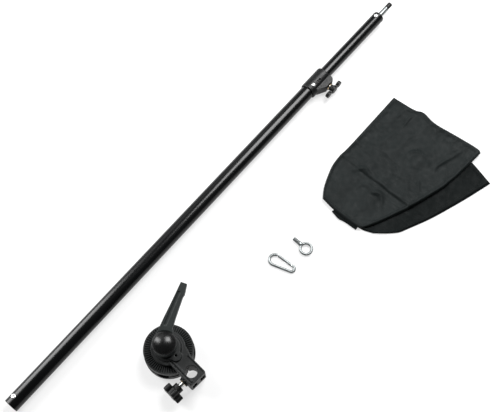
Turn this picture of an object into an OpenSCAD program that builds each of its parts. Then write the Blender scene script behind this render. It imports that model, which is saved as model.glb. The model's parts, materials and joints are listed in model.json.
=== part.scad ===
// Light stand boom arm kit laid out on a flat surface: a telescopic boom pole, a grip head with
// a clamp lever, a snap hook, an eye screw and an empty saddle sandbag folded in two.
// Millimetres, +Z up. +X runs along the pole towards its stud. The kit stands on z = 0.

/* [Boom pole] */
// Length from the tail of the outer tube to the tip of the thread cap
pole_l = 856; // [780:1:950]
// Outside diameter of the outer tube
outer_d = 22; // [21.5:0.1:22.5]
// Wall of the outer tube
outer_wall = 1.2; // [1.1:0.05:1.3]
// Outside diameter of the inner tube
inner_d = 19; // [18.6:0.1:19]
// Wall of the inner tube
inner_wall = 1.1; // [0.9:0.05:1.3]
// Length of the inner tube
inner_l = 690; // [600:1:720]
// Length of the stud and its cap beyond the inner tube
stud_out = 32.5; // [30:0.5:36]
// Diameter of the stud
stud_d = 8; // [7.8:0.1:8.4]
// Clear bore of the tail thread
tail_thread_d = 5.2; // [4.8:0.1:5.4]

/* [Collar] */
// Distance from the tail to the lower edge of the locking collar
collar_x = 641; // [600:1:655]
// Length of the collar
collar_l = 42; // [40:1:46]
// Outside radius of the collar
collar_r = 13; // [12.8:0.1:13.4]
// Length of the two-winged knob
wing_l = 34; // [26:1:35]

/* [Grip head] */
// Place of the clamp axis along the pole
head_x = 195.6; // [180:0.1:220]
// Place of the clamp axis across the pole
head_y = -114.2; // [-130:0.1:-114]
// Turn of the head's arm away from square to the pole
head_yaw = -4.5; // [-8:0.5:0]
// Radius of the toothed front jaw
jaw_r = 35; // [34:0.5:35]
// Thickness of each jaw
jaw_t = 15; // [14:0.5:16]
// Gap between the jaws when the clamp is just closed
jaw_gap = 1.5; // [1.2:0.1:2]
// Number of radial teeth round the front jaw
teeth = 60; // [48:6:72]
// Radius of the large boom groove
groove_a_r = 11.1; // [11:0.05:11.3]
// Radius of the small boom groove
groove_b_r = 8.1; // [8:0.05:8.3]
// Width of the arm and its socket block
arm_w = 27.5; // [26:0.5:29]
// Distance from the clamp axis to the end of the arm
arm_l = 60; // [58:1:64]
// Distance from the clamp axis to the stand socket
socket_y = 46; // [45:0.5:47]
// Radius of the stand socket
socket_r = 8.4; // [8.1:0.1:8.6]
// Depth of the socket block
block_h = 34; // [32:1:36]
// Turn of the clamp lever from the pole's direction
lever_turn = 22; // [0:1:60]
// Reach of the lever from the clamp axis
lever_l = 87; // [78:1:90]
// Outside radius of the star knob
star_r = 15.2; // [13:0.1:15.5]

/* [Hook and eye] */
// Thickness of the hook's wire
hook_wire = 4.5; // [4:0.1:5]
// Distance between the centres of the hook's two bends
hook_span = 27.5; // [26:0.5:30]
// Outside diameter of the eye
eye_od = 21; // [20:0.5:22]
// Thickness of the eye's wire
eye_wire = 4; // [3.6:0.1:4.2]

/* [Sandbag] */
// Thickness of one empty pouch
pouch_t = 4; // [3:0.5:5]
// Gap between the two folded pouches
pouch_gap = 0.5; // [0.4:0.1:1]

/* [Hidden] */
$fn = 64;
outer_r = outer_d / 2;
inner_r = inner_d / 2;
outer_bore = outer_r - outer_wall;
inner_bore = inner_r - inner_wall;
fit = 0.05;          // radial clearance of a running fit
clear = 0.3;         // gap between parts that must not touch

// pole
pole_z = collar_r;
collar_end = collar_x + collar_l;
seat_x = collar_x + 21;              // the outer tube ends here inside the collar
knob_x = collar_x + 30;              // axis of the locking screw
boss_y = -20.5;                      // end of the screw boss
insert_y = -15.8;                    // inner end of the threaded insert
pad_y = -13.6;                       // the screw meets the pad here
screw_x = collar_x + 10.5;           // the collar's own fixing screw
screw_turn = 16;
screw_r = 1.6;
screw_seat = collar_r - 0.8;
inner_end = pole_l - stud_out;
inner_start = inner_end - inner_l;
tail_rivet_x = 12;
tip_rivet_x = inner_end - 6;
tail_rivet_turn = 26;                // the rivets sit this far off the top
tip_rivet_turn = 9;
tail_rivet_r = 2;
tip_rivet_r = 1.6;
stud_r = stud_d / 2;
stud_core_r = stud_r - 0.5;          // the length pressed into the plug
stud_end = pole_l - 11;
cap_r = stud_r - 0.08;

// grip head, heights measured from the tooth plane
jaw_pitch = jaw_t + jaw_gap;
head_z = 2 * jaw_t + jaw_gap;
boom_z = -(jaw_t + jaw_gap / 2);
bolt_r = 4;
core_r = 6.1;                        // wall left round the clamp bolt
groove_a = core_r + groove_a_r;
groove_b = core_r + groove_b_r;
groove_a_turn = -82;
groove_b_turn = -172;
spring_r = 5.4;
plate_r = 24;
plate_t = 7;
hub_cap_r = 19;
hub_cap_z = 11;
block_y = -37.4;
knob_z = -12;
side_x = arm_w / 2;
hub_r = 16.5;                        // the lever's hub and its domed cap, set off the clamp axis
hub_off = 3.5;
cap_z = 30;
star_out = -41.3;                    // the star knob lies between these along its screw
star_in = -30.3;

// snap hook
hook_x = 403;
hook_y = -164;
hook_turn = 10.5;
wire_r = hook_wire / 2;
bend_big = 8.15;
bend_small = 4.45;
side_turn = asin((bend_big - bend_small) / hook_span);
side_l = sqrt(hook_span * hook_span - pow(bend_big - bend_small, 2));

// eye screw
eye_x = 440.5;
eye_y = -161;
eye_turn = -2;
eye_z = 3.3;
eye_r = (eye_od - eye_wire) / 2;

// sandbag
bag_x = 512;                         // fold line of the bridge
bag_right = 742;
bag_low = -307;
upper_z = pouch_t + pouch_gap;

// the origin is at the middle of the kit's outline
origin_x = pole_l / 2;
origin_y = (bag_low + collar_r) / 2;

// ---- shared shapes ----

// a rod along X from x0 to x1
module rod_x(r, x0, x1) {
    translate([x0, 0, 0]) rotate([0, 90, 0]) cylinder(r = r, h = x1 - x0);
}

// a rod along Y from y0 to y1
module rod_y(r, y0, y1) {
    translate([0, y0, 0]) rotate([-90, 0, 0]) cylinder(r = r, h = y1 - y0);
}

// a rod with a chamfer c at both ends, along X
module soft_rod_x(r, x0, x1, c) {
    translate([x0, 0, 0]) rotate([0, 90, 0])
        rotate_extrude() polygon([[0, 0], [r - c, 0], [r, c], [r, x1 - x0 - c],
            [r - c, x1 - x0], [0, x1 - x0]]);
}

// a block with its vertical edges rounded
module soft_block(size, r) {
    linear_extrude(size[2]) union() {
        translate([r, 0]) square([size[0] - 2 * r, size[1]]);
        translate([0, r]) square([size[0], size[1] - 2 * r]);
        for (x = [r, size[0] - r], y = [r, size[1] - r]) translate([x, y]) circle(r);
    }
}

// the middle of the kit moves to the origin
module kit() {
    translate([-origin_x, -origin_y, 0]) children();
}

// the pole's own axis
module pole() {
    kit() translate([0, 0, pole_z]) children();
}

// the grip head's frame: clamp axis along Z, tooth plane at z = 0, arm towards -Y
module head() {
    kit() translate([head_x, head_y, head_z]) rotate([0, 0, head_yaw]) children();
}

// a round wire coil about Z as one closed tube
module coil(r, wire, height, turns) {
    sides = 8;
    steps = turns * 16;
    rise = (height - 2 * wire) / steps;
    ring = [for (i = [0 : steps]) let (a = 360 * turns * i / steps, z = wire + rise * i)
        for (k = [0 : sides - 1]) let (b = 360 * k / sides, q = r + wire * cos(b))
            [q * cos(a), q * sin(a), z + wire * sin(b)]];
    walls = [for (i = [0 : steps - 1], k = [0 : sides - 1])
        let (m = (k + 1) % sides, p = i * sides)
            [p + k, p + m, p + sides + m, p + sides + k]];
    first = [for (k = [0 : sides - 1]) sides - 1 - k];
    last = [for (k = [0 : sides - 1]) steps * sides + k];
    polyhedron(points = ring, faces = concat(walls, [first, last]));
}

// a domed rivet seated on a tube of radius r along X, with its shank reaching down by depth
module rivet(r, head_r, head_h, shank_r, depth) {
    dome_r = (head_r * head_r + head_h * head_h) / (2 * head_h);
    difference() {
        translate([0, 0, r + head_h - dome_r]) sphere(dome_r);
        rod_x(r, -2 * dome_r, 2 * dome_r);
        translate([-2 * dome_r, -2 * dome_r, -3 * dome_r])
            cube([4 * dome_r, 4 * dome_r, r + 3 * dome_r - 1.2]);
        translate([0, 0, r + head_h - 0.6]) cylinder(r = 0.9, h = 2);
    }
    translate([0, 0, r - depth]) cylinder(r = shank_r, h = depth + 0.4);
}

// the two places of a rivet pair, turned off the top
module rivet_pair(x, off) {
    for (turn = [0, 180]) translate([x, 0, 0]) rotate([turn - off, 0, 0]) children();
}

module tail_rivet_pair() {
    rivet_pair(tail_rivet_x, tail_rivet_turn) children();
}

module tip_rivet_pair() {
    rivet_pair(tip_rivet_x, tip_rivet_turn) children();
}

// the frame of the collar's own fixing screw
module at_collar_screw() {
    translate([screw_x, 0, 0]) rotate([screw_turn, 0, 0]) children();
}

// ---- boom pole ----

module outer_tube() {
    color("#16191b") pole() difference() {
        rod_x(outer_r, 0, seat_x);
        rod_x(outer_bore, -1, seat_x + 1);
        tail_rivet_pair() cylinder(r = tail_rivet_r, h = outer_r + 1);
        at_collar_screw() cylinder(r = screw_r, h = outer_r + 1);
    }
}

module tail_plug() {
    color("#2a2c2e") pole() difference() {
        rod_x(outer_bore, 1, 27);
        rod_x(tail_thread_d / 2, 0, 28);
        tail_rivet_pair() translate([0, 0, outer_bore - 5]) cylinder(r = tail_rivet_r, h = 6);
    }
}

module tail_rivets() {
    color("silver") pole() tail_rivet_pair()
        rivet(outer_r, 3.8, 1.7, tail_rivet_r, outer_wall + 5);
}

module collar() {
    color("#2b2f30") pole() difference() {
        union() {
            soft_rod_x(collar_r, collar_x, collar_end, 1);
            // the screw boss narrows away from the tube
            translate([0, 0, -8.5]) linear_extrude(17)
                polygon([[collar_x + 9, 0], [collar_end, 0], [collar_end, -16],
                    [knob_x + 8.5, boss_y + 1], [knob_x - 7, boss_y + 1], [collar_x + 9, -12]]);
            translate([knob_x, 0, 0]) rod_y(7.5, boss_y, 0);
        }
        rod_x(outer_r, collar_x - 1, seat_x);
        rod_x(inner_r + fit, seat_x - 1, collar_end + 1);
        // bore of the threaded insert, then the pad's own bore
        translate([knob_x, 0, 0]) rod_y(5, boss_y - 1, insert_y);
        translate([knob_x, 0, 0]) rod_y(4 + fit, insert_y - 1, 0);
        at_collar_screw() cylinder(r = screw_r, h = collar_r + 2);
        at_collar_screw() translate([0, 0, screw_seat]) cylinder(r = 3.6, h = 3);
        // draft slot beside the screw
        translate([screw_x + 7, -5.6, collar_r - 3]) soft_block([8, 2.6, 4], 1.2);
    }
}

module collar_screw() {
    color("silver") pole() at_collar_screw() difference() {
        union() {
            translate([0, 0, outer_bore]) cylinder(r = screw_r, h = screw_seat - outer_bore);
            translate([0, 0, screw_seat]) intersection() {
                cylinder(r = 3.3, h = 2.2);
                translate([0, 0, -3.2]) sphere(5.3);
            }
        }
        // cross recess
        for (turn = [0, 90]) rotate([0, 0, turn])
            translate([-1.8, -0.35, collar_r + 0.3]) cube([3.6, 0.7, 3]);
    }
}

module collar_insert() {
    color("#b5893f") pole() translate([knob_x, 0, 0]) difference() {
        rod_y(5, boss_y, insert_y);
        rod_y(3 + fit, boss_y - 1, insert_y + 1);
    }
}

module collar_pad() {
    color("#e3e0d6") pole() translate([knob_x, 0, 0]) difference() {
        rod_y(4, pad_y, -inner_r + 1);
        translate([-knob_x, 0, 0]) rod_x(inner_r + clear, knob_x - 8, knob_x + 8);
    }
}

module collar_knob() {
    color("#26282a") pole() translate([knob_x, 0, 0]) difference() {
        union() {
            rod_y(6.4, -31.4, -25.5);
            rod_y(5.2, -26, -22);
            // two wings
            translate([-wing_l / 2, -30.5, -3]) cube([wing_l, 4, 6]);
            for (side = [-1, 1]) translate([side * (wing_l / 2 - 4.6), 0, 0]) rod_y(5.2, -30.7, -25.8);
        }
        rod_y(3, -29, -21);
    }
}

module collar_knob_screw() {
    color("silver") pole() translate([knob_x, 0, 0]) difference() {
        rod_y(3, -29, pad_y);
        // thread grooves on the length that shows
        for (y = [-21.8 : 1 : -20.8]) translate([0, y, 0]) difference() {
            rod_y(4, 0, 0.4);
            rod_y(2.6, -1, 1);
        }
    }
}

module inner_tube() {
    color("#1b1e20") pole() difference() {
        rod_x(inner_r, inner_start, inner_end);
        rod_x(inner_bore, inner_start - 1, inner_end + 1);
        tip_rivet_pair() cylinder(r = tip_rivet_r, h = inner_r + 1);
    }
}

module guide_bush() {
    color("#e3e0d6") pole() difference() {
        union() {
            soft_rod_x(outer_bore - fit, inner_start - 8, inner_start, 0.5);
            rod_x(inner_bore, inner_start - 1, inner_start + 16);
        }
        rod_x(5.5, inner_start - 9, inner_start + 17);
    }
}

module tip_plug() {
    color("#2a2c2e") pole() difference() {
        union() {
            rod_x(inner_bore, inner_end - 22, inner_end);
            soft_rod_x(inner_r - 0.4, inner_end, inner_end + 1.6, 0.5);
        }
        rod_x(stud_core_r, inner_end - 23, inner_end + 2);
        tip_rivet_pair() translate([0, 0, stud_r]) cylinder(r = tip_rivet_r, h = inner_bore);
    }
}

module tip_rivets() {
    color("silver") pole() tip_rivet_pair()
        rivet(inner_r, 3.2, 1.4, tip_rivet_r, inner_wall + 3);
}

module stud() {
    color("gainsboro") pole() union() {
        rod_x(stud_core_r, inner_end - 21, inner_end + 2);
        soft_rod_x(stud_r, inner_end + 1.6, stud_end, 0.5);
        rod_x(2.6, stud_end - 1, pole_l - 3);
        // thread crests
        for (x = [stud_end + 1 : 1.2 : pole_l - 4]) rod_x(3, x, x + 0.6);
    }
}

module thread_cap() {
    color("#141516") pole() difference() {
        soft_rod_x(cap_r, stud_end + 0.3, pole_l, 0.8);
        rod_x(3 + fit, stud_end, pole_l - 2.5);
    }
}

// ---- grip head ----

// both boom grooves as rods through the jaws
module boom_grooves() {
    rotate([0, 0, groove_a_turn]) translate([0, groove_a, boom_z]) rod_x(groove_a_r, -60, 60);
    rotate([0, 0, groove_b_turn]) translate([0, groove_b, boom_z]) rod_x(groove_b_r, -60, 60);
}

module head_arm() {
    color("#2a2e2e") head() difference() {
        union() {
            translate([0, 0, clear]) cylinder(r = plate_r, h = plate_t - clear);
            cylinder_cap();
            // arm plate narrowing to the socket block
            translate([0, 0, clear]) linear_extrude(plate_t - clear)
                polygon([[-side_x, -8], [21, -8], [side_x, -34], [side_x, -arm_l + 2],
                    [side_x - 2, -arm_l], [-side_x + 2, -arm_l], [-side_x, -arm_l + 2]]);
            translate([-side_x, -arm_l, plate_t - block_h])
                soft_block([arm_w, arm_l + block_y, block_h], 2);
            // rails along the arm's edges
            for (x = [-side_x, -side_x + 4.2])
                translate([x, -arm_l + 3, plate_t - 1]) cube([2.2, 41, 2.6]);
            translate([side_x - 2, -arm_l + 3, plate_t - 1]) cube([2, 30, 1.8]);
            // ring boss
            translate([0, -16, plate_t - 1]) cylinder(r = 7.7, h = 4.8);
            // clamp screw boss
            translate([0, -socket_y, knob_z]) rod_x(7, -side_x - 3.2, 0);
        }
        translate([0, 0, -1]) cylinder(r = bolt_r + clear, h = 20);
        translate([0, -16, 3]) cylinder(r = 1.65, h = 12);
        // stand socket
        translate([0, -socket_y, -block_h]) cylinder(r = socket_r, h = 2 * block_h);
        // pad bore and insert bore through the socket wall
        translate([0, -socket_y, knob_z]) rod_x(4 + fit, -side_x - 4, 0);
        translate([0, -socket_y, knob_z]) rod_x(5.5, -side_x - 4, -12.2);
        // cored pockets in the end face
        for (x = [-11, 3.2]) translate([x, -arm_l - 1, knob_z - 7]) cube([7.8, 5, 14]);
    }
}

// the smooth round cap over the arm's hub
module cylinder_cap() {
    translate([0, 0, plate_t - 1]) rotate_extrude()
        polygon([[0, 0], [hub_cap_r, 0], [hub_cap_r, 2.6], [hub_cap_r - 2, hub_cap_z - plate_t + 1],
            [0, hub_cap_z - plate_t + 1]]);
}

module front_jaw() {
    color("#272b2b") head() difference() {
        translate([0, 0, -jaw_t]) cylinder(r = jaw_r, h = jaw_t, $fn = 128);
        translate([0, 0, -jaw_t - 1]) cylinder(r = bolt_r + fit, h = jaw_t + 2);
        translate([0, 0, -jaw_t - 1]) cylinder(r = spring_r, h = 6);
        boom_grooves();
        // radial teeth
        for (i = [0 : teeth - 1]) rotate([0, 0, (i + 0.5) * 360 / teeth])
            translate([plate_r - 5, 0, 0]) rotate([45, 0, 0])
                translate([0, -0.85, -0.85]) cube([14, 1.7, 1.7]);
    }
}

module back_jaw() {
    color("#272b2b") head() difference() {
        translate([0, 0, -head_z]) rotate_extrude($fn = 128)
            polygon([[0, 0], [jaw_r - 1.5, 0], [jaw_r + 0.8, 2.3], [jaw_r + 0.8, jaw_t], [0, jaw_t]]);
        translate([0, 0, -head_z - 1]) cylinder(r = bolt_r, h = jaw_t + 2);
        translate([0, 0, -head_z - 1]) cylinder(r = 8, h = 7, $fn = 6);
        translate([0, 0, -jaw_pitch - 5]) cylinder(r = spring_r, h = 6);
        boom_grooves();
    }
}

module clamp_bolt() {
    color("silver") head() union() {
        translate([0, 0, -head_z + 0.6]) cylinder(r = 8, h = 5.4, $fn = 6);
        translate([0, 0, -head_z + 3]) cylinder(r = bolt_r, h = head_z + 14);
    }
}

module jaw_spring() {
    color("silver") head() translate([0, 0, -jaw_pitch - 5]) coil(4.72, 0.32, 11.5, 4);
}

module lever_washer() {
    color("silver") head() translate([0, 0, hub_cap_z]) difference() {
        cylinder(r = 10, h = 1.6);
        translate([0, 0, -1]) cylinder(r = bolt_r + clear, h = 4);
    }
}

module lever_insert() {
    color("silver") head() difference() {
        union() {
            translate([0, 0, 13]) cylinder(r = 9, h = 1.6);
            translate([0, 0, 13]) cylinder(r = 6.5, h = 10.5);
        }
        translate([0, 0, 12]) cylinder(r = bolt_r + fit, h = 7);
        translate([0, 0, 18]) cylinder(r = 1.5, h = 6);
        // ratchet splines
        for (turn = [0 : 30 : 330]) rotate([0, 0, turn]) translate([6.5, 0, 15.4]) cylinder(r = 0.7, h = 10);
    }
}

module lever_handle() {
    color("#343838") head() rotate([0, 0, lever_turn - head_yaw]) difference() {
        union() {
            translate([0, hub_off, 15]) rotate_extrude()
                polygon([[0, 0], [hub_r - 2, 0], [hub_r, 2], [hub_r, cap_z - 15], [0, cap_z - 15]]);
            // blade rising away from the hub, set to one side of it
            translate([0, 0, 21]) rotate([0, -9, 0]) linear_extrude(9)
                polygon([[0, -8], [13, -5], [25, 0], [38, 0.6], [lever_l - 19, 0.6],
                    [lever_l - 15, -0.6], [lever_l, 1.2], [lever_l, 9.8], [57, 13],
                    [31, 16.2], [19, 17.4], [9, 19], [0, 20.3]]);
        }
        translate([0, 0, 14]) cylinder(r = 6.5 + clear, h = 10);
        translate([0, 0, 20]) cylinder(r = 1.8, h = 10);
        translate([0, 0, 26]) cylinder(r = 5, h = 12);
        // the cap covers the hub's top
        translate([0, hub_off, cap_z]) cylinder(r = hub_r + clear, h = 9);
        // long recess in the blade's top
        translate([0, 0, 21]) rotate([0, -9, 0]) translate([24, 8.6, 7.8]) rotate([0, 0, -4])
            soft_block([50, 4, 4], 1.9);
    }
}

module lever_spring() {
    color("silver") head() translate([0, 0, 26]) coil(3.4, 0.35, 5.4, 3);
}

module lever_screw() {
    color("silver") head() difference() {
        union() {
            translate([0, 0, 18.5]) cylinder(r = 1.5, h = 13.5);
            translate([0, 0, 31.4]) cylinder(r = 4.6, h = 2.2);
        }
        translate([-3, -0.5, 33]) cube([6, 1, 2]);
    }
}

module lever_cap() {
    color("#2c2e2e") head() rotate([0, 0, lever_turn - head_yaw]) difference() {
        translate([0, hub_off, 0]) intersection() {
            translate([0, 0, cap_z]) cylinder(r = hub_r, h = 11);
            translate([0, 0, cap_z - 11.5]) sphere(22);
        }
        // room for the screw's head
        translate([0, 0, cap_z - 1]) cylinder(r = 5.4, h = 6.4);
    }
}

module socket_insert() {
    color("#b5893f") head() translate([0, -socket_y, knob_z]) difference() {
        rod_x(5.5, -side_x - 3.2, -12.2);
        rod_x(bolt_r + fit, -side_x - 4, -12);
    }
}

module socket_pad() {
    color("#b5893f") head() translate([0, -socket_y, knob_z]) rod_x(4, -12, -8.9);
}

module socket_knob() {
    color("#303232") head() translate([0, -socket_y, knob_z]) difference() {
        union() {
            rod_x(7.2, star_in - 0.5, -23.2);
            // five lobes round a core
            rod_x(9, star_out, star_in);
            for (turn = [18 : 72 : 306]) rotate([turn, 0, 0]) translate([0, 0, star_r - 4.2])
                soft_rod_x(4.2, star_out, star_in - 0.2, 0.8);
            for (turn = [18 : 72 : 306]) rotate([turn, 0, 0])
                translate([star_out + 0.4, -3.4, 0]) cube([10, 6.8, star_r - 4.2]);
        }
        rod_x(bolt_r, -35, -22);
    }
}

module socket_knob_screw() {
    color("silver") head() translate([0, -socket_y, knob_z]) difference() {
        rod_x(bolt_r, -35, -12.3);
        for (x = [-22.45 : 1.25 : -18]) translate([x, 0, 0]) difference() {
            rod_x(bolt_r + 1, 0, 0.5);
            rod_x(bolt_r - 0.45, -1, 2);
        }
    }
}

// ---- snap hook ----

// the hook's frame: small bend at the origin, big bend along +Y, wire centre at z = 0
module hook() {
    kit() translate([hook_x, hook_y, wire_r]) rotate([0, 0, hook_turn]) children();
}

// an arc of round wire about Z
module wire_arc(r, wire, from, sweep) {
    rotate([0, 0, from]) rotate_extrude(angle = sweep) translate([r, 0]) circle(wire, $fn = 32);
}

module hook_body() {
    color("gainsboro") hook() difference() {
        union() {
            wire_arc(bend_small, wire_r, 180 + side_turn, 180 - 2 * side_turn);
            translate([0, hook_span, 0]) wire_arc(bend_big, wire_r, 2, 178 + side_turn);
            // the straight side, a hair finer than the bends so that its ends sit inside them
            rotate([0, 0, side_turn]) translate([-bend_small, 0, 0])
                rod_y(wire_r - 0.03, -0.6, side_l + 0.6);
            // thin neck that the gate's slot closes over
            gate_side() rod_y(0.75, side_l - 2.9, side_l + 3.5);
            // pivot lug inside the gate's fork
            gate_side() translate([-1.5, -1.5, -0.8]) cube([3, 6, 1.6]);
        }
        gate_side() translate([0, 3, -5]) cylinder(r = 0.8, h = 10);
    }
}

// the hook's gate side: from the small bend's end towards the big bend along +Y
module gate_side() {
    rotate([0, 0, -side_turn]) translate([bend_small, 0, 0]) children();
}

// the gate's frame: pivot at the origin, latch end along +Y
module gate() {
    hook() gate_side() translate([0, 3, 0]) children();
}

module hook_gate() {
    color("gainsboro") gate() difference() {
        rod_y(2.1, -1.7, side_l - 3.4);
        translate([-3, -3, -1.1]) cube([6, 5.5, 2.2]);
        translate([0, 0, -5]) cylinder(r = 0.8 + fit, h = 10);
        translate([-1.2, side_l - 6.4, -0.9]) cube([5, 4, 1.8]);
        // seat of the spring wire
        translate([-3, 3.8, -0.4]) cube([1.4, 8.4, 0.8]);
    }
}

module hook_pin() {
    color("silver") gate() translate([0, 0, -2.2]) cylinder(r = 0.8, h = 4.4);
}

module hook_spring() {
    color("silver") gate() translate([-2.2, 4, -0.3]) cube([0.6, 8, 0.6]);
}

// ---- eye screw ----

module eye_screw() {
    color("gainsboro") kit() translate([eye_x, eye_y, eye_z]) rotate([0, 0, eye_turn]) union() {
        rotate_extrude() translate([eye_r, 0]) circle(eye_wire / 2, $fn = 32);
        rod_y(3.3, eye_r + 0.4, eye_r + 5);
        rod_y(2.5, eye_r + 4, 24);
        // thread crests
        for (y = [eye_r + 5.4 : 1 : 23]) rod_y_at(3, y, 0.5);
    }
}

module rod_y_at(r, y, h) {
    rod_y(r, y, y + h);
}

// ---- sandbag ----

// outline of the lower pouch, fanned out from under the upper one
module lower_outline() {
    polygon([[518, -160], [518, -205], [525, -221], [538, -237], [551, -250], [562, -255],
        [600, -273], [660, -294], [704, bag_low], [716, -264], [726, -200], [700, -150],
        [600, -135]]);
}

// outline of the upper pouch
module upper_outline() {
    polygon([[518, -130], [531, -121], [545, -115], [570, -106.5], [593, -105], [605, -107],
        [725, -107.5], [728, -148], [735, -158], [729, -182], [738, -262], [729, -267],
        [714, -267], [680, -263],
        [646, -257], [593, -240], [553, -223], [525, -209], [516, -199], [514, -176], [514.5, -152]]);
}

module bag_lower_pouch() {
    color("#1f2324") kit() linear_extrude(pouch_t) lower_outline();
}

module bag_upper_pouch() {
    color("#353b3b") kit() translate([0, 0, upper_z]) linear_extrude(pouch_t) upper_outline();
}

// the webbing bridge that joins the pouches at the fold
module bag_bridge() {
    color("#2d3132") kit() linear_extrude(pouch_t)
        polygon([[508, -168], [512, -152], [518, -160], [516, -198], [512, -198], [511, -176]]);
}

outer_tube();
tail_plug();
tail_rivets();
collar();
collar_screw();
collar_insert();
collar_pad();
collar_knob();
collar_knob_screw();
inner_tube();
guide_bush();
tip_plug();
tip_rivets();
stud();
thread_cap();
head_arm();
front_jaw();
back_jaw();
clamp_bolt();
jaw_spring();
lever_washer();
lever_insert();
lever_handle();
lever_spring();
lever_screw();
lever_cap();
socket_insert();
socket_pad();
socket_knob();
socket_knob_screw();
hook_body();
hook_gate();
hook_pin();
hook_spring();
eye_screw();
bag_lower_pouch();
bag_upper_pouch();
bag_bridge();
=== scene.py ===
"""The looks of a light stand boom arm kit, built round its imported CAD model: a boom pole, a grip head,
a snap hook, an eye screw and an empty sandbag. Metres, +Z up, +X along the pole towards its stud."""

import json
import math
import random

import bmesh
import bpy
import numpy as np
from mathutils import Matrix, Vector, noise


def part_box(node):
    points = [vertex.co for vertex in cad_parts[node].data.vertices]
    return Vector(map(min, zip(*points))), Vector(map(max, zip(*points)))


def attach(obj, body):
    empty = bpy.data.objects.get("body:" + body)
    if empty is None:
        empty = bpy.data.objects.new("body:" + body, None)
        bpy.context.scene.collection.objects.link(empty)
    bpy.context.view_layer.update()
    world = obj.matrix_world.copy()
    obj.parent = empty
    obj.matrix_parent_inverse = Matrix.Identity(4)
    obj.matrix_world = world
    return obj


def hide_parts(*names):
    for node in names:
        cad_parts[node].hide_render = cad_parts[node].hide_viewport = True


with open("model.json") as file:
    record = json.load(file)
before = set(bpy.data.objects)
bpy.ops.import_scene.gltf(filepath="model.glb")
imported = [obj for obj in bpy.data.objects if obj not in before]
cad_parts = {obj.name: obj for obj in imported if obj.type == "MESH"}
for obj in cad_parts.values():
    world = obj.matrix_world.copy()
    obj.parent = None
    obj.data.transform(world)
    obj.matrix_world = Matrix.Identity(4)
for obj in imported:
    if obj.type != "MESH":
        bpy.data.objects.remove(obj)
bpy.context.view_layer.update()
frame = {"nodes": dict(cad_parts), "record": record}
nodes = frame["nodes"]
record = frame["record"]
mm = 0.001


def centre(node):
    """The middle of a CAD node's box."""
    low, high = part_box(node)
    return (low + high) / 2


# ---- camera ----

def make_camera():
    camera_at = Vector((-0.3700, -0.2271, 1.2355))
    camera_aim = Vector((0.0087, 0.0969, 0.0))
    data = bpy.data.cameras.new("camera")
    data.sensor_width = 36
    data.lens = 64.6
    data.clip_start = 0.05
    data.clip_end = 60
    camera = bpy.data.objects.new("camera", data)
    bpy.context.scene.collection.objects.link(camera)
    camera.location = camera_at
    camera.rotation_euler = (camera_aim - camera_at).to_track_quat("-Z", "Y").to_euler()
    bpy.context.scene.camera = camera


make_camera()

# ---- materials ----


class Shader:
    """A Principled material and its node tree, with a few helpers for procedural patterns."""

    def __init__(self, name, colour, roughness, metallic=0.0, **sockets):
        self.material = bpy.data.materials.new(name)
        self.material.use_nodes = True
        self.tree = self.material.node_tree
        self.shader = next(n for n in self.tree.nodes if n.type == "BSDF_PRINCIPLED")
        self.shader.inputs["Base Color"].default_value = (*colour, 1)
        self.shader.inputs["Roughness"].default_value = roughness
        self.shader.inputs["Metallic"].default_value = metallic
        for socket, value in sockets.items():
            self.shader.inputs[socket.replace("_", " ")].default_value = value
        self.material.diffuse_color = (*colour, 1)
        self.height = None

    def node(self, kind, **values):
        made = self.tree.nodes.new(kind)
        for key, value in values.items():
            if key in made.inputs:
                made.inputs[key].default_value = value
            else:
                setattr(made, key, value)
        return made

    def link(self, start, end):
        self.tree.links.new(start, end)

    def coordinates(self, stretch=(1, 1, 1)):
        """Object coordinates, which are the row frame's, stretched along the axes."""
        place = self.node("ShaderNodeTexCoord")
        mapping = self.node("ShaderNodeMapping", Scale=stretch)
        self.link(place.outputs["Object"], mapping.inputs["Vector"])
        return mapping.outputs["Vector"]

    def noise(self, scale, detail=4.0, stretch=(1, 1, 1), rough=0.5):
        made = self.node("ShaderNodeTexNoise", Scale=scale, Detail=detail, Roughness=rough)
        self.link(self.coordinates(stretch), made.inputs["Vector"])
        return made.outputs["Fac"]

    def wave(self, scale, direction):
        """Even bands across one axis, such as the threads of a weave."""
        made = self.node("ShaderNodeTexWave", Scale=scale, bands_direction=direction)
        self.link(self.coordinates(), made.inputs["Vector"])
        return made.outputs["Fac"]

    def remap(self, value, low, high, from_low=0.3, from_high=0.7):
        made = self.node("ShaderNodeMapRange")
        made.inputs["From Min"].default_value = from_low
        made.inputs["From Max"].default_value = from_high
        made.inputs["To Min"].default_value = low
        made.inputs["To Max"].default_value = high
        self.link(value, made.inputs["Value"])
        return made.outputs["Result"]

    def roughness(self, value, low, high):
        self.link(self.remap(value, low, high), self.shader.inputs["Roughness"])

    def colour(self, value, first, second):
        made = self.node("ShaderNodeMix", data_type="RGBA")
        made.inputs["A"].default_value = (*first, 1)
        made.inputs["B"].default_value = (*second, 1)
        self.link(self.remap(value, 0, 1), made.inputs["Factor"])
        self.link(made.outputs["Result"], self.shader.inputs["Base Color"])

    def bump(self, value, depth):
        """Adds a bump of that depth in metres under any bump made before."""
        made = self.node("ShaderNodeBump", Distance=depth, Strength=1.0)
        self.link(value, made.inputs["Height"])
        if self.height:
            self.link(self.height, made.inputs["Normal"])
        self.height = made.outputs["Normal"]
        self.link(self.height, self.shader.inputs["Normal"])


def anodised_tube():
    m = Shader("anodised_tube", (0.0012, 0.0014, 0.0015), 0.24, IOR=1.35)
    drawn = m.noise(900, 3, (0.01, 1, 1))
    m.roughness(drawn, 0.2, 0.28)
    m.bump(drawn, 0.00001)
    return m.material


def moulded_black():
    m = Shader("moulded_black", (0.0035, 0.0037, 0.0038), 0.4, IOR=1.3)
    m.roughness(m.noise(300), 0.34, 0.48)
    m.bump(m.noise(2200, 2), 0.00004)
    return m.material


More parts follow.
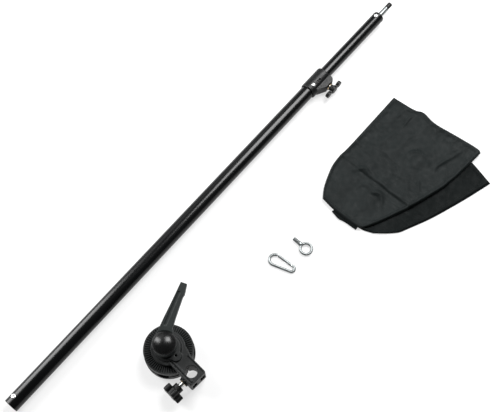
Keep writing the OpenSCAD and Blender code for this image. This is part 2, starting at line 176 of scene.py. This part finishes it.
def painted_casting():
    m = Shader("painted_casting", (0.006, 0.0068, 0.0068), 0.5, IOR=1.33)
    m.colour(m.noise(60, 5), (0.0045, 0.0055, 0.0055), (0.0085, 0.0095, 0.0095))
    m.roughness(m.noise(400), 0.42, 0.6)
    m.bump(m.noise(1500, 2), 0.00006)
    return m.material


def painted_lever():
    m = Shader("painted_lever", (0.010, 0.0125, 0.012), 0.5, IOR=1.3)
    m.colour(m.noise(90, 5), (0.009, 0.0115, 0.011), (0.013, 0.016, 0.0155))
    m.roughness(m.noise(500), 0.42, 0.58)
    m.bump(m.noise(1200, 3), 0.00006)
    return m.material


def zinc_steel():
    m = Shader("zinc_steel", (0.78, 0.79, 0.78), 0.3, 1.0)
    m.roughness(m.noise(500), 0.22, 0.38)
    m.bump(m.noise(900, 2), 0.00001)
    return m.material


def bright_plate():
    m = Shader("bright_plate", (0.2, 0.212, 0.213), 0.4, 1.0)
    m.roughness(m.noise(350), 0.36, 0.46)
    m.bump(m.noise(700, 2), 0.00001)
    return m.material


def brass_insert():
    m = Shader("brass_insert", (0.66, 0.46, 0.19), 0.3, 1.0)
    m.roughness(m.noise(500), 0.25, 0.4)
    return m.material


def white_nylon():
    m = Shader("white_nylon", (0.72, 0.70, 0.64), 0.45)
    m.roughness(m.noise(300), 0.4, 0.5)
    return m.material


def woven(name, first, second, index=1.2):
    """Thin plain-woven nylon: threads of a third of a millimetre both ways, and a slow change of shade."""
    m = Shader(name, first, 0.6, IOR=index)
    m.colour(m.noise(25, 5), first, second)
    m.roughness(m.noise(120), 0.5, 0.7)
    m.bump(m.wave(480, "X"), 0.00004)
    m.bump(m.wave(480, "Y"), 0.00004)
    return m.material


def bag_nylon():
    return woven("bag_nylon", (0.0044, 0.0062, 0.0062), (0.0070, 0.0092, 0.0092))


MATERIALS = {make.__name__: make() for make in (
    anodised_tube, moulded_black, painted_casting, painted_lever, zinc_steel, bright_plate,
    brass_insert, white_nylon, bag_nylon)}


def dress_cad_nodes():
    """Every carried-over CAD node takes the material of its slot."""
    for part in record["subparts"]:
        mesh = nodes[part["node"]].data
        mesh.materials.clear()
        mesh.materials.append(MATERIALS[part["material_slot"]])


dress_cad_nodes()

NODE_SLOT = {part["node"]: part["material_slot"] for part in record["subparts"]}
NODE_BODY = {node: body for body, held in record["behaviour"]["bodies"].items() for node in held}
SHARP_EDGE = math.radians(40)

# ---- pieces from profiles ----


def new_object(name, vertices, faces):
    mesh = bpy.data.meshes.new(name)
    mesh.from_pydata([tuple(v) for v in vertices], [], faces)
    mesh.update()
    piece = bpy.data.objects.new(name, mesh)
    bpy.context.scene.collection.objects.link(piece)
    return piece


def dressed(piece, material, body):
    """The piece is smooth, has one material, and rides on a body."""
    mesh = piece.data
    mesh.polygons.foreach_set("use_smooth", [True] * len(mesh.polygons))
    mesh.materials.clear()
    mesh.materials.append(material)
    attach(piece, body)
    return piece


def settle(piece, node, material=None):
    """The piece stands for a CAD node, on the same body and in the same slot."""
    slot = NODE_SLOT[node]
    dressed(piece, material or MATERIALS[slot], NODE_BODY[node])
    piece.data.set_sharp_from_angle(angle=SHARP_EDGE)
    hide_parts(node)


def rounded(profile, radius, closed):
    """The profile with each corner turned into a short curve."""
    count = len(profile)
    made = []
    for i, corner in enumerate(profile):
        corner = np.array(corner, float)
        if not closed and i in (0, count - 1):
            made.append(corner)
            continue
        before = np.array(profile[i - 1], float) - corner
        after = np.array(profile[(i + 1) % count], float) - corner
        reach = min(radius, np.linalg.norm(before) / 2.1, np.linalg.norm(after) / 2.1)
        start = corner + before / np.linalg.norm(before) * reach
        end = corner + after / np.linalg.norm(after) * reach
        for t in (0, 0.33, 0.67, 1):
            made.append((1 - t) ** 2 * start + 2 * t * (1 - t) * corner + t * t * end)
    return made


def lathe_data(profile, place, radius=0.3 * mm, closed=False, sides=96):
    """Turns a profile of (along, out) about the local Z axis."""
    rows = rounded(profile, radius, closed)
    vertices, rings = [], []
    for along, out in rows:
        if out < 1e-7:
            rings.append([len(vertices)] * sides)
            vertices.append(place @ Vector((0, 0, along)))
            continue
        rings.append(list(range(len(vertices), len(vertices) + sides)))
        for k in range(sides):
            turn = math.tau * k / sides
            vertices.append(place @ Vector((out * math.cos(turn), out * math.sin(turn), along)))
    faces = []
    for i in range(len(rings) - (0 if closed else 1)):
        low, high = rings[i], rings[(i + 1) % len(rings)]
        for k in range(sides):
            m = (k + 1) % sides
            face = dict.fromkeys((low[k], low[m], high[m], high[k]))
            if len(face) > 2:
                faces.append(tuple(face))
    return vertices, faces


def outwards(piece):
    """Faces of a closed mesh point outwards."""
    shape = bmesh.new()
    shape.from_mesh(piece.data)
    bmesh.ops.recalc_face_normals(shape, faces=shape.faces)
    shape.to_mesh(piece.data)
    shape.free()
    return piece


def lathe(name, profile, place, **options):
    return outwards(new_object(name, *lathe_data(profile, place, **options)))


def thread_data(length, out, pitch, depth, place, sides=40):
    """A threaded rod along the local Z axis from 0 to length, run out at both ends."""
    rows = max(8, int(length / pitch * 10))
    vertices = []
    for i in range(rows + 1):
        along = length * i / rows
        run_out = min(1, along / pitch, (length - along) / pitch)
        for k in range(sides):
            phase = (along / pitch - k / sides) % 1
            crest = min(1, 1.5 * abs(2 * phase - 1))
            r = out - depth + depth * crest * run_out
            turn = math.tau * k / sides
            vertices.append(place @ Vector((r * math.cos(turn), r * math.sin(turn), along)))
    faces = [tuple(range(sides - 1, -1, -1)), tuple(range(rows * sides, (rows + 1) * sides))]
    for i in range(rows):
        for k in range(sides):
            m = (k + 1) % sides
            faces.append((i * sides + k, i * sides + m, (i + 1) * sides + m, (i + 1) * sides + k))
    return vertices, faces


def joined(*chunks):
    """Several (vertices, faces) pairs as one."""
    vertices, faces = [], []
    for points, loops in chunks:
        start = len(vertices)
        vertices += list(points)
        faces += [tuple(start + k for k in loop) for loop in loops]
    return vertices, faces


# ---- pieces cast from closed shapes ----


def applied(piece, *modifiers):
    """Adds modifiers given as (type, settings), and applies them all."""
    for number, (kind, settings) in enumerate(modifiers):
        made = piece.modifiers.new(f"m{number}", kind)
        for key, value in settings.items():
            setattr(made, key, value)
    seen = piece.evaluated_get(bpy.context.evaluated_depsgraph_get())
    mesh = bpy.data.meshes.new_from_object(seen)
    old = piece.data
    piece.modifiers.clear()
    piece.data = mesh
    bpy.data.meshes.remove(old)
    return piece


def cast(piece, voxel, rounds, share):
    """Melts a closed shape into one skin with soft edges, then thins its mesh."""
    return applied(
        piece, ("REMESH", {"mode": "VOXEL", "voxel_size": voxel, "adaptivity": 0.0}),
        ("SMOOTH", {"factor": 0.5, "iterations": rounds}), ("DECIMATE", {"ratio": share}))


def from_node(name, node):
    """A free copy of a CAD node's closed mesh."""
    shape = bmesh.new()
    shape.from_mesh(nodes[node].data)
    bmesh.ops.remove_doubles(shape, verts=shape.verts, dist=1e-6)
    mesh = bpy.data.meshes.new(name)
    shape.to_mesh(mesh)
    shape.free()
    piece = bpy.data.objects.new(name, mesh)
    bpy.context.scene.collection.objects.link(piece)
    return piece


def cast_node(name, node, voxel, rounds, share):
    settle(cast(from_node(name, node), voxel, rounds, share), node)


# ---- boom pole ----

TUBE_AXIS = centre("inner_tube")
OUTER_TUBE_OUT, OUTER_TUBE_BORE = 11 * mm, 9.8 * mm
INNER_TUBE_OUT, INNER_TUBE_BORE = 9.5 * mm, 8.4 * mm


def along_pole(x):
    """Local Z along the pole's +X, from x."""
    return Matrix.Translation((x, TUBE_AXIS.y, TUBE_AXIS.z)) @ Matrix.Rotation(math.pi / 2, 4, "Y")


def make_tube(name, node, out, bore):
    low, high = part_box(node)
    length = high.x - low.x
    profile = [(0, bore), (0, out), (length, out), (length, bore)]
    settle(lathe(name, profile, along_pole(low.x), radius=0.35 * mm, closed=True), node)


def rivet_data(place, out, rise, drop):
    """An eyelet rivet: a rolled ring round a dark hole."""
    hole, floor, foot = out * 0.3, -1.5 * mm, -drop - 1 * mm
    profile = [(floor, 0), (floor, hole), (0.55 * rise, hole), (rise, hole + 0.5 * mm),
               (0.95 * rise, 0.62 * out), (0.4 * rise, 0.93 * out), (-drop, out), (foot, out - 0.6 * mm),
               (foot, 0)]
    return lathe_data(profile, place, radius=0.5 * mm, sides=48)


def make_rivets(name, node, tube_out, out, rise, drop):
    """A pair of rivets on opposite sides of a tube, turned about it as the CAD pair is."""
    low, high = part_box(node)
    tops = [v.co for v in nodes[node].data.vertices if v.co.z > TUBE_AXIS.z + tube_out]
    lean = sum(v.y for v in tops) / len(tops) - TUBE_AXIS.y
    turn = math.asin(lean / (tube_out + rise / 2))
    middle = Matrix.Translation(((low.x + high.x) / 2, TUBE_AXIS.y, TUBE_AXIS.z))
    chunks = []
    for side in (0, math.pi):
        place = middle @ Matrix.Rotation(side - turn, 4, "X") @ Matrix.Translation((0, 0, tube_out))
        chunks.append(rivet_data(place, out, rise, drop))
    settle(outwards(new_object(name, *joined(*chunks))), node)


def make_stud():
    """The stud's shaft has a groove near its thread, and the cap over the thread has one near its rim."""
    cap_low, cap_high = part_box("thread_cap")
    out = 4 * mm
    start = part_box("inner_tube")[1].x + 1.4 * mm
    neck = cap_low.x - 0.5 * mm
    length, groove = neck - start, out - 0.45 * mm
    profile = [(0, 0), (0, out), (length - 3.6 * mm, out), (length - 3.4 * mm, groove),
               (length - 2.6 * mm, groove), (length - 2.4 * mm, out), (length, out), (length, 2.8 * mm),
               (length + 0.1 * mm, 0)]
    shaft = lathe_data(profile, along_pole(start), radius=0.25 * mm, sides=64)
    thread_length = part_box("stud")[1].x - neck
    screw = thread_data(thread_length, 3 * mm, 1.2 * mm, 0.4 * mm, along_pole(neck))
    settle(outwards(new_object("stud_turned", *joined(shaft, screw))), "stud")
    length, wall, groove, bore = cap_high.x - cap_low.x, out - 0.08 * mm, out - 0.4 * mm, 3.15 * mm
    cap = [(0, bore), (0, wall), (0.9 * mm, wall), (1.1 * mm, groove), (1.7 * mm, groove), (1.9 * mm, wall),
           (length, wall), (length, 0), (length - 2.5 * mm, 0), (length - 2.5 * mm, bore)]
    rows = lathe_data(cap, along_pole(cap_low.x), radius=0.5 * mm, sides=64)
    settle(outwards(new_object("cap_turned", *rows)), "thread_cap")


def make_pole():
    make_tube("outer_tube_drawn", "outer_tube", OUTER_TUBE_OUT, OUTER_TUBE_BORE)
    make_tube("inner_tube_drawn", "inner_tube", INNER_TUBE_OUT, INNER_TUBE_BORE)
    make_rivets("tail_eyelets", "tail_rivets", OUTER_TUBE_OUT, 3.9 * mm, 1.3 * mm, 0.8 * mm)
    make_rivets("tip_eyelets", "tip_rivets", INNER_TUBE_OUT, 3.3 * mm, 1.1 * mm, 0.7 * mm)
    make_stud()
    cast_node("collar_moulded", "collar", 0.42 * mm, 4, 0.3)
    cast_node("wing_knob_moulded", "collar_knob", 0.3 * mm, 6, 0.3)
    knob = centre("collar_knob_screw")
    low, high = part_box("collar_knob_screw")
    place = Matrix.Translation((knob.x, low.y, knob.z)) @ Matrix.Rotation(-math.pi / 2, 4, "X")
    rows = thread_data(high.y - low.y, 3 * mm, 1 * mm, 0.42 * mm, place)
    settle(new_object("wing_screw_thread", *rows), "collar_knob_screw")


# ---- grip head ----

HEAD_TURN = math.radians(-4.5)
TOOTH_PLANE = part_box("front_jaw")[1].z


def gloss_black():
    m = Shader("gloss_black", (0.003, 0.003, 0.003), 0.28, IOR=1.38)
    m.roughness(m.noise(200), 0.24, 0.34)
    m.bump(m.noise(900, 2), 0.00001)
    return m.material


def make_head():
    cast_node("arm_cast", "head_arm", 0.45 * mm, 4, 0.3)
    cast_node("lever_cast", "lever_handle", 0.4 * mm, 7, 0.3)
    ball, ball_z, side, rim_z, steps = 22 * mm, 18.5 * mm, 16.5 * mm, 30 * mm, 16
    dome = [(rim_z, 0), (rim_z, side)]
    first = math.acos(side / ball)
    for step in range(steps + 1):
        turn = first + (math.pi / 2 - first) * step / steps
        dome.append((ball_z + ball * math.sin(turn), ball * math.cos(turn) if step < steps else 0))
    middle = centre("lever_cap")
    place = Matrix.Translation((middle.x, middle.y, TOOTH_PLANE))
    settle(lathe("lever_dome", dome, place, radius=0.5 * mm), "lever_cap", material=gloss_black())
    cast_node("star_knob_moulded", "socket_knob", 0.35 * mm, 6, 0.3)
    length, pad_half = 22.7 * mm, 1.9 * mm
    inwards = Matrix.Rotation(HEAD_TURN, 4, "Z") @ Vector((1, 0, 0))
    start = centre("socket_pad") - inwards * (length + pad_half)
    place = Matrix.Translation(start) @ inwards.to_track_quat("Z", "Y").to_matrix().to_4x4()
    rows = thread_data(length, 4 * mm, 1.25 * mm, 0.5 * mm, place)
    settle(new_object("star_screw_thread", *rows), "socket_knob_screw")


# ---- snap hook and eye screw ----


def ring_data(place, ring, wire, around=72, sides=28):
    """A round wire bent into a ring about the local Z axis."""
    vertices, faces = [], []
    for i in range(around):
        a = math.tau * i / around
        for k in range(sides):
            b = math.tau * k / sides
            out = ring + wire * math.cos(b)
            vertices.append(place @ Vector((out * math.cos(a), out * math.sin(a), wire * math.sin(b))))
    for i in range(around):
        for k in range(sides):
            m, n = (k + 1) % sides, (i + 1) % around
            faces.append((i * sides + k, n * sides + k, n * sides + m, i * sides + m))
    return vertices, faces


def make_small_parts():
    cast_node("hook_bent", "hook_body", 0.2 * mm, 4, 0.3)
    cast_node("gate_bent", "hook_gate", 0.16 * mm, 3, 0.35)
    low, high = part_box("eye_screw")
    ring, wire, tip = 8.5 * mm, 2 * mm, 24 * mm
    lean = Matrix.Rotation(math.radians(-2), 4, "Z")
    middle = Vector((high.x - ring - wire, low.y + ring + wire, low.z + 3.3 * mm))
    place = Matrix.Translation(middle) @ lean
    to_tip = place @ Matrix.Rotation(-math.pi / 2, 4, "X")
    neck = [(8.2 * mm, 0), (8.2 * mm, 2.4 * mm), (9.4 * mm, 3.3 * mm), (13.2 * mm, 3.3 * mm),
            (14 * mm, 2.55 * mm), (15 * mm, 2.55 * mm), (15 * mm, 0)]
    eye = new_object("eye_bent", *joined(ring_data(place, ring, wire), lathe_data(neck, to_tip, sides=48)))
    cast(eye, 0.16 * mm, 3, 0.3)
    thread_start = 13.4 * mm
    screw = to_tip @ Matrix.Translation((0, 0, thread_start))
    rows = thread_data(tip - thread_start, 3 * mm, 1 * mm, 0.45 * mm, screw)
    shank = new_object("eye_thread", *rows)
    settle(eye, "eye_screw")
    dressed(shank, MATERIALS["bright_plate"], "eye")


make_pole()
make_head()
make_small_parts()

# ---- sandbag ----

BAG_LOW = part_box("bag_upper_pouch")[0]
UNDER_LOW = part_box("bag_lower_pouch")[0]
SEAM_INSET = 0.0055


def kit_points(points):
    """Points in millimetres from the pole's tail and axis, as the row frame's metres."""
    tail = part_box("outer_tube")[0].x
    return [(x * mm + tail, y * mm + TUBE_AXIS.y) for x, y in points]


def outline_side(points, count):
    """Evenly spaced points along an open line of points, eased round its corners."""
    near, far = 0.8, 0.2
    line = np.array(points, float)
    for _ in range(2):
        cut = [line[0]]
        for a, b in zip(line[:-1], line[1:]):
            cut += [a * near + b * far, a * far + b * near]
        line = np.array(cut + [line[-1]])
    steps = np.concatenate([[0], np.cumsum(np.linalg.norm(np.diff(line, axis=0), axis=1))])
    where = np.linspace(0, steps[-1], count)
    return np.stack([np.interp(where, steps, line[:, k]) for k in (0, 1)], axis=1)


def patch(left, right, bottom, top, across, along):
    """A grid of points between four sides. Left and right run upwards, bottom and top run rightwards."""
    low, high = outline_side(bottom, across), outline_side(top, across)
    first, last = outline_side(left, along), outline_side(right, along)
    u = np.linspace(0, 1, across)[:, None, None]
    v = np.linspace(0, 1, along)[None, :, None]
    corners = ((1 - u) * (1 - v) * low[0] + u * (1 - v) * low[-1]
               + (1 - u) * v * high[0] + u * v * high[-1])
    return (1 - v) * low[:, None] + v * high[:, None] + (1 - u) * first[None] + u * last[None] - corners


def grid_faces(across, along):
    return [(i * along + j, (i + 1) * along + j, (i + 1) * along + j + 1, i * along + j + 1)
            for i in range(across - 1) for j in range(along - 1)]


def crumple(name, flat, height, seed, swell):
    """Lets a slightly too large panel of nylon, held along its seams, fall and buckle over its lining."""
    across, along = flat.shape[:2]
    roll = random.Random(seed)
    shift = Vector((roll.uniform(0, 9), roll.uniform(0, 9), 0))
    points, seam = [], []
    for i in range(across):
        for j in range(along):
            x, y = flat[i, j]
            rise = 0.002 + 0.0022 * noise.noise(Vector((x * 22, y * 30, seed)) + shift)
            if i in (0, across - 1) or j in (0, along - 1):
                seam.append(i * along + j)
                rise = 0
            points.append((x, y, height + rise))
    cloth = new_object(name, points, grid_faces(across, along))
    cloth.vertex_groups.new(name="seam").add(seam, 1.0, "REPLACE")
    bed_z = height - 0.0012
    bed = new_object(name + "_bed", [(-1, -1, bed_z), (1, -1, bed_z), (1, 1, bed_z), (-1, 1, bed_z)],
                     [(0, 1, 2, 3)])
    bed.modifiers.new("bed", "COLLISION")
    bed.collision.thickness_outer = 0.0004
    made = cloth.modifiers.new("cloth", "CLOTH")
    made.settings.quality = 6
    made.settings.mass = 0.15
    made.settings.tension_stiffness = 30
    made.settings.compression_stiffness = 30
    made.settings.shear_stiffness = 12
    made.settings.bending_stiffness = 0.06
    made.settings.air_damping = 2
    made.settings.shrink_min = swell
    made.settings.vertex_group_mass = "seam"
    made.collision_settings.distance_min = 0.0006
    frames = 26
    made.point_cache.frame_end = frames
    for step in range(1, frames + 1):
        bpy.context.scene.frame_set(step)
    seen = cloth.evaluated_get(bpy.context.evaluated_depsgraph_get())
    mesh = bpy.data.meshes.new_from_object(seen)
    cloth.modifiers.clear()
    cloth.data = mesh
    bpy.data.objects.remove(bed)
    bpy.context.scene.frame_set(1)
    return cloth


def distance_along(grid, axis):
    """How far each point of a grid is from the first one in its row, counted along one axis."""
    steps = np.linalg.norm(np.diff(grid, axis=axis), axis=2)
    return np.insert(np.cumsum(steps, axis=axis), 0, 0, axis=axis)


def seam_distance(grid):
    """For each point of a grid, how far it is from the nearest side, counted along the grid."""
    run, rise = distance_along(grid, 0), distance_along(grid, 1)
    return np.minimum(np.minimum(run, run[-1:] - run), np.minimum(rise, rise[:, -1:] - rise))


def smooth_step(value, low, high):
    t = np.clip((value - low) / (high - low), 0, 1)
    return t * t * (3 - 2 * t)


def finer(values, times):
    """A grid of values with more points between them."""
    across, along = values.shape[:2]
    rows = np.linspace(0, across - 1, (across - 1) * times + 1)
    columns = np.linspace(0, along - 1, (along - 1) * times + 1)
    out = []
    for layer in np.moveaxis(values, 2, 0):
        half = np.array([np.interp(columns, np.arange(along), row) for row in layer])
        out.append(np.array([np.interp(rows, np.arange(across), column) for column in half.T]).T)
    return np.stack(out, axis=2)


def blurred(values):
    """One pass of smoothing that leaves the border alone."""
    out = values.copy()
    out[1:-1, 1:-1] = (values[1:-1, 1:-1] * 4 + values[:-2, 1:-1] + values[2:, 1:-1]
                       + values[1:-1, :-2] + values[1:-1, 2:]) / 8
    return out


def field(x, y, scale, seed):
    """Smooth noise over a grid of places, in waves that lie askew to the axes."""
    out = [noise.noise(Vector((a * scale[0] + b * scale[1] * 0.4, b * scale[1] - a * scale[0] * 0.5, seed)))
           for a, b in zip(x.ravel(), y.ravel())]
    return np.array(out).reshape(x.shape)


def crease(x, y, scale, seed):
    """Narrow ridges that wander over a grid of places and come and go."""
    ridge = np.clip(1 - 5 * np.abs(field(x, y, scale, seed)), 0, 1)
    return ridge * np.clip(field(y, x, scale, seed + 2) + 0.3, 0, 1)


def two_layers(name, upper, lower):
    """One closed mesh from two grids of points that meet all round."""
    across, along = upper.shape[:2]
    count = across * along
    points = [tuple(p) for p in upper.reshape(-1, 3)] + [tuple(p) for p in lower.reshape(-1, 3)]
    faces = grid_faces(across, along)
    faces += [tuple(count + k for k in reversed(face)) for face in grid_faces(across, along)]
    ring = [i * along for i in range(across)]
    ring += [(across - 1) * along + j for j in range(1, along)]
    ring += [i * along + along - 1 for i in range(across - 2, -1, -1)]
    ring += [j for j in range(along - 2, 0, -1)]
    for a, b in zip(ring, ring[1:] + ring[:1]):
        faces.append((b, a, count + a, count + b))
    return outwards(new_object(name, points, faces))


def pouch(name, flat, base, top, seed, shape, body, material):
    """A flat pouch: a crumpled upper panel with turned hems over a plain lower one. Gives the piece, its
    upper grid, and how far each of the grid's points is from a seam."""
    cloth = crumple(name + "_panel", flat, base + 0.0022, seed, -0.016)
    across, along = flat.shape[:2]
    grid = np.array([v.co for v in cloth.data.vertices]).reshape(across, along, 3)
    bpy.data.objects.remove(cloth)
    grid = finer(grid, 3)
    for _ in range(3):
        grid = blurred(grid)
    edge = seam_distance(grid[:, :, :2])
    rim_z, hem_rise, stitch_dent = base + 0.0012, 0.00025, 0.0003
    z = np.clip(grid[:, :, 2], base + 0.0016, top) + shape(grid[:, :, 0], grid[:, :, 1], edge)
    hem = 1 - smooth_step(edge, 0.0068, 0.0078)
    stitch = np.exp(-((edge - 0.0056) / 0.0006) ** 2)
    z = np.maximum(z, rim_z) + hem_rise * hem - stitch_dent * stitch
    rim = np.exp(-edge / 0.0007)
    grid[:, :, 2] = z * (1 - rim) + rim_z * rim
    under = grid.copy()
    under[:, :, 2] = base + 0.0003 + 0.0003 * np.minimum(edge / 0.004, 1)
    piece = two_layers(name, grid, under)
    return dressed(piece, material, body), grid, edge


def thread_stitch(a, b, wire=0.00028, sides=6):
    """One stitch: a short arched thread from a to b."""
    side = (b - a).normalized().cross(Vector((0, 0, 1))).normalized()
    spans = 4
    vertices, faces = [], []
    for i in range(spans + 1):
        t = i / spans
        middle = a.lerp(b, t) + Vector((0, 0, 0.00035 * math.sin(math.pi * t) - 0.0001))
        r = wire * (0.35 + 0.65 * math.sin(math.pi * t))
        for k in range(sides):
            turn = math.tau * k / sides
            vertices.append(middle + side * r * math.cos(turn) + Vector((0, 0, r * math.sin(turn))))
    for i in range(spans):
        for k in range(sides):
            m = (k + 1) % sides
            faces.append((i * sides + k, i * sides + m, (i + 1) * sides + m, (i + 1) * sides + k))
    faces += [tuple(range(sides - 1, -1, -1)), tuple(range(spans * sides, (spans + 1) * sides))]
    return vertices, faces


def stitches(name, grid, edge, body):
    """A row of short threads along each hem."""
    across, along = edge.shape
    j = next(k for k in range(along) if edge[across // 2, k] >= SEAM_INSET)
    i = next(k for k in range(across) if edge[k, along // 2] >= SEAM_INSET)
    lines = []
    for row, column in ((i, j), (across - 1 - i, along - 1 - j)):
        lines.append(grid[edge[:, column] >= SEAM_INSET * 0.9, column])
        lines.append(grid[row, edge[row] >= SEAM_INSET * 0.9])
    pitch, length, margin = 0.0036, 0.0024, 0.001
    chunks = []
    for line in lines:
        steps = np.concatenate([[0], np.cumsum(np.linalg.norm(np.diff(line, axis=0), axis=1))])
        for start in np.arange(margin, steps[-1] - 0.003, pitch):
            a, b = (Vector([np.interp(s, steps, line[:, k]) for k in range(3)])
                    for s in (start, start + length))
            chunks.append(thread_stitch(a, b))
    return dressed(new_object(name, *joined(*chunks)), MATERIALS["bag_nylon"], body)


def fold_section(edge_x, inner_x, low, high, skin, ripple):
    """The closed outline in X and Z of a skin that runs out to edge_x, bends round and runs back."""
    bend = (high - low) / 2
    flat_steps, bend_steps = 8, 12
    run = inner_x - edge_x - bend
    line = [(edge_x + bend + run * (1 - t / flat_steps), low) for t in range(flat_steps)]
    for k in range(bend_steps + 1):
        turn = math.pi * k / bend_steps
        line.append((edge_x + bend - bend * math.sin(turn), low + bend - bend * math.cos(turn)))
    line += [(edge_x + bend + run * t / flat_steps, high) for t in range(1, flat_steps + 1)]
    line = np.array(line)
    line[:, 0] += ripple
    way = np.gradient(line, axis=0)
    out = np.stack([way[:, 1], -way[:, 0]], axis=1) / np.linalg.norm(way, axis=1)[:, None] * skin
    return np.concatenate([line + out, (line - out)[::-1]])


def make_fold(material):
    """The narrow fold of cloth that joins the two pouches, bent round from under one to under the other."""
    rows = 33
    left = outline_side(kit_points([(512, -198), (511, -176), (508.5, -168), (512, -153)]), rows)
    right = outline_side(kit_points([(524, -197), (526, -158)]), rows)
    low, high, skin = UNDER_LOW.z + 0.3 * mm, BAG_LOW.z - 0.2 * mm, 0.25 * mm
    vertices, faces = [], []
    for j, (a, b) in enumerate(zip(left, right)):
        ripple = 0.25 * mm * noise.noise(Vector((j * 0.35, 3.1, 0)))
        section = fold_section(a[0], b[0], low, high, skin, ripple)
        y = a[1] + (b[1] - a[1]) * np.clip((section[:, 0] - a[0]) / (b[0] - a[0]), 0, 1)
        vertices += [(x, k, z) for (x, z), k in zip(section, y)]
    around = len(vertices) // rows
    for j in range(rows - 1):
        for k in range(around):
            m = (k + 1) % around
            faces.append((j * around + k, j * around + m, (j + 1) * around + m, (j + 1) * around + k))
    for start in (0, (rows - 1) * around):
        for k in range(around // 2 - 1):
            across = around - 1 - k
            faces.append((start + k, start + k + 1, start + across - 1, start + across))
    piece = outwards(new_object("fold_cloth", vertices, faces))
    dressed(piece, material, "bag_bottom")
    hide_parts("bag_bridge")


def upper_outline():
    """The four sides of the upper pouch."""
    return dict(
        left=kit_points([(516, -199), (514, -176), (514.5, -152), (518, -130)]),
        right=kit_points([(734, -267), (738, -262), (734, -220), (729, -182), (735, -158), (728, -148),
                          (725, -107.5)]),
        bottom=kit_points([(516, -199), (525, -209), (553, -223), (593, -240), (646, -257), (680, -263),
                           (734, -267)]),
        top=kit_points([(518, -130), (531, -121), (545, -115), (570, -106.5), (593, -105), (605, -107),
                        (725, -107.5)]))


def lower_outline():
    """The four sides of the lower pouch. The upper one hides its top side."""
    return dict(
        left=kit_points([(525, -221), (518, -205), (517, -180), (518, -160)]),
        right=kit_points([(704, -307), (716, -264), (726, -200), (700, -150)]),
        bottom=kit_points([(525, -221), (538, -237), (551, -250), (562, -255), (600, -273), (660, -294),
                           (704, -307)]),
        top=kit_points([(518, -160), (560, -146), (600, -135), (650, -142), (700, -150)]))


def upper_shape(x, y, edge):
    """A pleat: the part towards the pole's stud lies over the other, and falls away from its fold. The
    pleat fades towards the pole, and soft wrinkles and creases cover the rest."""
    step_x, step_y = kit_points([(590.5, -185)])[0]
    over = smooth_step(x, step_x - 0.0006, step_x + 0.0006)
    fall = np.exp(-np.maximum(x - step_x, 0) / 0.05)
    dip = -0.0008 * np.exp(-np.maximum(step_x - x, 0) / 0.012) * (1 - over)
    deep = 1 - 0.7 * smooth_step(y, step_y, step_y + 0.07)
    folds = 0.0042 * field(x, y, (18, 34), 3) + 0.0028 * crease(x, y, (24, 34), 8)
    return (0.0021 * over * fall + dip) * deep + folds * smooth_step(edge, 0.004, 0.03)


def lower_shape(x, y, edge):
    return 0.0022 * field(x, y, (20, 34), 12) * smooth_step(edge, 0.004, 0.02)


def make_bag():
    # The lower pouch and the fold take a darker copy of the bag's nylon, the same cloth: painted shade for
    # the shadow the upper pouch casts on them.
    shaded_nylon_copy = woven("bag_nylon_painted_shade", (0.0020, 0.0031, 0.0031), (0.0034, 0.0046, 0.0046), 1.14)
    flat = patch(**lower_outline(), across=52, along=40)
    lower, grid, edge = pouch("lower_pouch_cloth", flat, UNDER_LOW.z, UNDER_LOW.z + 0.0042, 7, lower_shape,
                              "bag_bottom", shaded_nylon_copy)
    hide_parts("bag_lower_pouch")
    make_fold(shaded_nylon_copy)
    low_stitch = stitches("lower_pouch_stitches", grid, edge, "bag_bottom")
    flat = patch(**upper_outline(), across=60, along=44)
    upper, grid, edge = pouch("upper_pouch_cloth", flat, BAG_LOW.z, BAG_LOW.z + 0.0062, 4, upper_shape,
                              "bag_top", MATERIALS["bag_nylon"])
    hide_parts("bag_upper_pouch")
    top_stitch = stitches("upper_pouch_stitches", grid, edge, "bag_top")


make_bag()

# ---- floor and light ----


def make_floor():
    half_width = 55
    m = Shader("floor", (0.3, 0.3, 0.3), 0.8, IOR=1.1)
    m.colour(m.noise(6, 4), (0.29, 0.29, 0.29), (0.3, 0.3, 0.3))
    m.shader.inputs["Emission Color"].default_value = (1, 1, 1, 1)
    m.shader.inputs["Emission Strength"].default_value = 0.62
    mesh = bpy.data.meshes.new("floor")
    shape = bmesh.new()
    bmesh.ops.create_grid(shape, x_segments=8, y_segments=8, size=half_width)
    shape.to_mesh(mesh)
    shape.free()
    mesh.materials.append(m.material)
    floor = bpy.data.objects.new("floor", mesh)
    floor.location.z = -0.0002
    bpy.context.scene.collection.objects.link(floor)


def softbox(name, aim, direction, distance, size, radiance, run=(1, 0, 0)):
    """A rectangular light that faces a point from a direction, its first side along run. Radiance is
    what a mirror shows of it."""
    data = bpy.data.lights.new(name, "AREA")
    data.shape = "RECTANGLE"
    data.size = size[0]
    data.size_y = size[1]
    data.energy = radiance * math.pi * size[0] * size[1]
    lamp = bpy.data.objects.new(name, data)
    bpy.context.scene.collection.objects.link(lamp)
    way = Vector(direction).normalized()
    lamp.location = Vector(aim) + way * distance
    side = (Vector(run) - way * way.dot(Vector(run))).normalized()
    lamp.rotation_euler = Matrix((side, way.cross(side), way)).transposed().to_euler()


def make_light():
    world = bpy.data.worlds.new("studio")
    world.use_nodes = True
    back = world.node_tree.nodes["Background"]
    back.inputs["Color"].default_value = (0.95, 0.98, 1.0, 1)
    back.inputs["Strength"].default_value = 0.1
    bpy.context.scene.world = world
    bpy.context.scene.view_settings.view_transform = "Standard"
    softbox("light_over_tail", (-0.50, 0.147, 0), (-0.02, 0.80, 0.60), 1.9, (0.8, 1.6), 13)
    softbox("light_from_right", (0.36, 0.235, 0), (0.8, -0.1, 1.7), 1.88, (1.2, 1.15), 17, (0.65, 0.76, 0))
    softbox("far_wall", (0.15, 0.147, 0), (0.05, 0.82, 0.57), 2.3, (2.6, 1.5), 0.8)


make_floor()
make_light()
